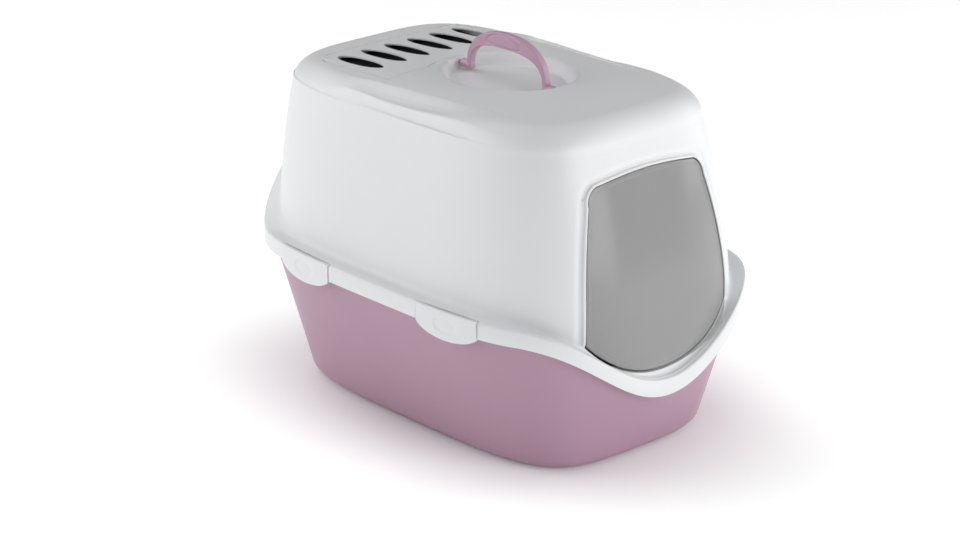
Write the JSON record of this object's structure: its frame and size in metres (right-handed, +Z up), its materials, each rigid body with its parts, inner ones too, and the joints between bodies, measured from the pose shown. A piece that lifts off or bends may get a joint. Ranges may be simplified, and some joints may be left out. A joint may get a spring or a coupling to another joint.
{
  "type": "hooded cat litter box",
  "caption": "Deep litter tray under a rounded lift-off hood with a two-way swing flap, side latches, folding carry handle and a slotted filter cover.",
  "frame": {"origin": "on the floor, under the middle of the hood's flange", "axes": "+Z up; the doorway and flap face -Y; X runs across the box, which is a mirror image of itself about X = 0"},
  "size_m": [0.3929, 0.56, 0.4395],
  "materials": {
    "hood_plastic": "satin",
    "tray_plastic": "satin",
    "handle_plastic": "satin",
    "flap_plastic": "clear smoked, polished",
    "filter_pad": "carbon-loaded felt"
  },
  "bodies": {
    "tray": {"litter_tray": "tray_plastic"},
    "hood": {"hood_shell": "hood_plastic"},
    "flap": {"flap_door": "flap_plastic"},
    "handle": {"carry_handle": "handle_plastic"},
    "latch_front_left": {"latch_front_left": "hood_plastic"},
    "latch_front_right": {"latch_front_right": "hood_plastic"},
    "latch_rear_left": {"latch_rear_left": "hood_plastic"},
    "latch_rear_right": {"latch_rear_right": "hood_plastic"},
    "filter_lid": {"filter_cover": "hood_plastic"},
    "filter": {"charcoal_filter": "filter_pad"}
  },
  "joints": [
    {"name": "hood_lift", "type": "slide", "parent": "tray", "child": "hood", "axis": [0, 0, 1], "range_m": [0, 0.2]},
    {"name": "flap_swing", "type": "hinge", "parent": "hood", "child": "flap", "pos_m": [0, -0.22951, 0.318], "axis": [1, 0, 0], "range_deg": [-50, 75]},
    {"name": "handle_fold", "type": "hinge", "parent": "hood", "child": "handle", "pos_m": [0, -0.013, 0.3895], "axis": [0, 1, 0], "range_deg": [-84, 84]},
    {"name": "latch_front_left_swing", "type": "hinge", "parent": "hood", "child": "latch_front_left", "pos_m": [-0.18982, -0.122, 0.1832], "axis": [-0.0814, 0.9967, 0], "range_deg": [0, 70]},
    {"name": "latch_front_right_swing", "type": "hinge", "parent": "hood", "child": "latch_front_right", "pos_m": [0.18982, -0.122, 0.1832], "axis": [-0.0814, -0.9967, 0], "range_deg": [0, 70]},
    {"name": "latch_rear_left_swing", "type": "hinge", "parent": "hood", "child": "latch_rear_left", "pos_m": [-0.18982, 0.122, 0.1832], "axis": [0.0814, 0.9967, 0], "range_deg": [0, 70]},
    {"name": "latch_rear_right_swing", "type": "hinge", "parent": "hood", "child": "latch_rear_right", "pos_m": [0.18982, 0.122, 0.1832], "axis": [0.0814, -0.9967, 0], "range_deg": [0, 70]},
    {"name": "filter_cover_lift", "type": "slide", "parent": "hood", "child": "filter_lid", "axis": [0, 0, 1], "range_m": [0, 0.1]},
    {"name": "filter_pad_lift", "type": "slide", "parent": "hood", "child": "filter", "axis": [0, 0, 1], "range_m": [0, 0.05]}
  ],
  "couplings": [
    {"joint": "filter_pad_lift", "follows": "filter_cover_lift", "ratio": 0.5}
  ]
}
